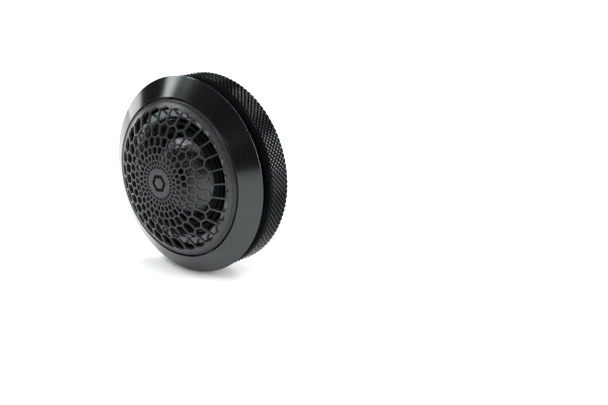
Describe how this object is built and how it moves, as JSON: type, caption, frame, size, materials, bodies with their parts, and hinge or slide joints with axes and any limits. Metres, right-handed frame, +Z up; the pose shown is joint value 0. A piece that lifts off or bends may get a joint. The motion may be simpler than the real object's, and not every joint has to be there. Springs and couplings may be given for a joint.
{
  "type": "car tweeter",
  "caption": "Flush-mount car tweeter: a dome driver behind a domed honeycomb grille in a conical bezel, held in a panel by a knurled clamp ring on its threaded barrel.",
  "frame": {"origin": "on the tweeter's axis, in the plane of the panel gasket's rear face, where the front of the panel comes", "axes": "the tweeter's axis lies along Y and it faces -Y; +Z is up, with the washer's keyway at the bottom, and the positive blade is on the +X side"},
  "size_m": [0.06, 0.0385, 0.06],
  "materials": {
    "anodised_black": "black anodised, fine turned lines",
    "grille_black": "satin black",
    "rubber_black": "matte",
    "surround_rubber": "satin",
    "foam_black": "closed-cell foam",
    "nylon_black": "moulded nylon",
    "faceplate_satin": "satin black",
    "gloss_ring": "glossy",
    "dome_silk": "coated silk",
    "former_aluminium": "plain sheet",
    "coil_copper": "enamelled copper wire",
    "cup_nickel": "nickel plated",
    "pole_steel": "turned steel",
    "magnet_nickel": "nickel plated",
    "felt_grey": "pressed felt",
    "screw_steel": "zinc plated",
    "abs_black": "moulded, finely grained",
    "laminate_brown": "phenolic laminate",
    "blade_tinned": "tinned brass",
    "rivet_brass": "plain brass",
    "tag_brass": "plain brass",
    "wire_red": "PVC insulation",
    "wire_black": "PVC insulation"
  },
  "bodies": {
    "housing": {"bezel": "anodised_black", "threaded_barrel": "anodised_black", "driver_retaining_ring": "anodised_black", "grille": "grille_black", "grille_gasket": "rubber_black", "faceplate_gasket": "rubber_black", "rear_seal": "rubber_black", "surround": "surround_rubber", "panel_gasket": "foam_black", "faceplate": "faceplate_satin", "surround_hold_ring": "gloss_ring", "magnet_cup": "cup_nickel", "pole_plate": "pole_steel", "neodymium_magnet": "magnet_nickel", "felt_pad": "felt_grey", "motor_screw_1": "screw_steel", "motor_screw_2": "screw_steel", "motor_screw_3": "screw_steel", "rear_cover_screw_1": "screw_steel", "rear_cover_screw_2": "screw_steel", "rear_cover_screw_3": "screw_steel", "rear_cover": "abs_black", "terminal_board": "laminate_brown", "terminal_positive": "blade_tinned", "terminal_negative": "blade_tinned", "terminal_rivet_1": "rivet_brass", "terminal_rivet_2": "rivet_brass", "lead_tag_positive": "tag_brass", "lead_tag_negative": "tag_brass", "lead_wire_positive": "wire_red", "lead_wire_negative": "wire_black"},
    "washer": {"clamp_washer": "nylon_black"},
    "clamp_ring": {"clamp_ring": "anodised_black"},
    "diaphragm": {"dome_diaphragm": "dome_silk", "coil_former": "former_aluminium", "voice_coil": "coil_copper"}
  },
  "joints": [
    {"name": "clamp_advance", "type": "slide", "parent": "housing", "child": "washer", "axis": [0, -1, 0], "range_m": [-0.0076, 0.0018]},
    {"name": "clamp_turn", "type": "hinge", "parent": "washer", "child": "clamp_ring", "pos_m": [0, 0.0068, 0], "axis": [0, -1, 0], "range_deg": [-1800, 420]},
    {"name": "diaphragm_travel", "type": "slide", "parent": "housing", "child": "diaphragm", "axis": [0, -1, 0], "range_m": [-0.0005, 0.0005], "stiffness_N_per_m": 2500, "deforming": ["surround"]}
  ],
  "couplings": [
    {"joint": "clamp_advance", "follows": "clamp_turn", "m_per_rad": 0.00023873}
  ]
}
